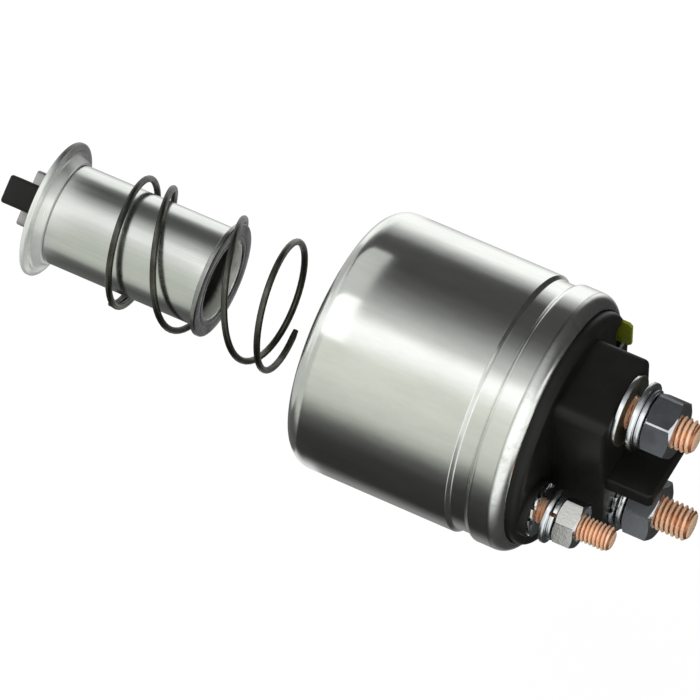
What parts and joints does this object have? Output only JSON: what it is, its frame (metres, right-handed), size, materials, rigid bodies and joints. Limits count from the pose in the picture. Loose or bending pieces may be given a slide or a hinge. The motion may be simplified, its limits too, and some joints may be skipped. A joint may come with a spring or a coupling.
{
  "type": "starter solenoid",
  "caption": "Round plated can with a black terminal cap, three threaded studs and a blade, a spring-loaded plunger with a pull rod drawn out in front, and an inner contact.",
  "frame": {"origin": "centre of the can's flat mounting face, on the plunger's axis", "axes": "+X along the axis from the mounting face to the terminals, +Z from the motor stud to the battery stud, +Y towards the blade terminal"},
  "size_m": [0.1745, 0.0624, 0.0624],
  "materials": {
    "plated_can": "drawn steel, bright zinc plate, faintly green",
    "bright_steel": "turned steel, bright zinc plate",
    "zinc": "bright zinc plated hardware",
    "copper": "bare copper, bright and slightly worn",
    "black_moulding": "black moulded thermoset, satin",
    "olive_plate": "olive passivated plate",
    "spring_steel": "oiled spring steel, near black",
    "dark_steel": "blackened steel",
    "dull_steel": "dull grey plated steel",
    "soft_iron": "machined soft iron",
    "brass": "drawn brass",
    "nylon": "natural nylon",
    "copper_wire": "enamelled copper wire",
    "gasket_rubber": "black rubber"
  },
  "bodies": {
    "housing": {"can": "plated_can", "guide_sleeve": "brass", "coil_bobbin": "nylon", "pull_in_winding": "copper_wire", "hold_in_winding": "copper_wire", "pole_core": "soft_iron", "core_plate": "soft_iron", "cap_gasket": "gasket_rubber", "terminal_cap": "black_moulding", "battery_stud": "copper", "motor_stud": "copper", "switch_stud": "copper", "spade_terminal": "olive_plate", "battery_seat_washer": "zinc", "battery_flat_washer": "zinc", "battery_spring_washer": "zinc", "battery_nut": "zinc", "motor_lock_washer": "zinc", "motor_spring_washer": "zinc", "motor_nut": "zinc", "switch_seat_washer": "zinc", "switch_flat_washer": "zinc", "switch_spring_washer": "zinc", "switch_nut": "zinc"},
    "plunger": {"plunger": "bright_steel", "plunger_guide_ring": "dark_steel", "rod_snap_ring": "spring_steel", "spring_seat": "bright_steel", "return_spring": "spring_steel"},
    "rod": {"pull_rod": "dark_steel", "link_plate": "dull_steel", "rod_head": "dull_steel", "meshing_spring": "spring_steel"},
    "contact": {"contact_rod": "dull_steel", "rear_insulator": "nylon", "contact_bridge": "copper", "front_insulator": "nylon", "contact_clip": "spring_steel", "contact_spring": "spring_steel", "contact_return_spring": "spring_steel"}
  },
  "joints": [
    {"name": "plunger_slide", "type": "slide", "parent": "housing", "child": "plunger", "axis": [1, 0, 0], "range_m": [0, 0.0589], "stiffness_N_per_m": 600, "deforming": ["return_spring"]},
    {"name": "pull_rod_slide", "type": "slide", "parent": "plunger", "child": "rod", "axis": [1, 0, 0], "range_m": [-0.006, 0], "stiffness_N_per_m": 2000, "deforming": ["meshing_spring"]},
    {"name": "contact_slide", "type": "slide", "parent": "housing", "child": "contact", "axis": [1, 0, 0], "range_m": [0, 0.0022], "stiffness_N_per_m": 1500, "deforming": ["contact_return_spring"]}
  ]
}
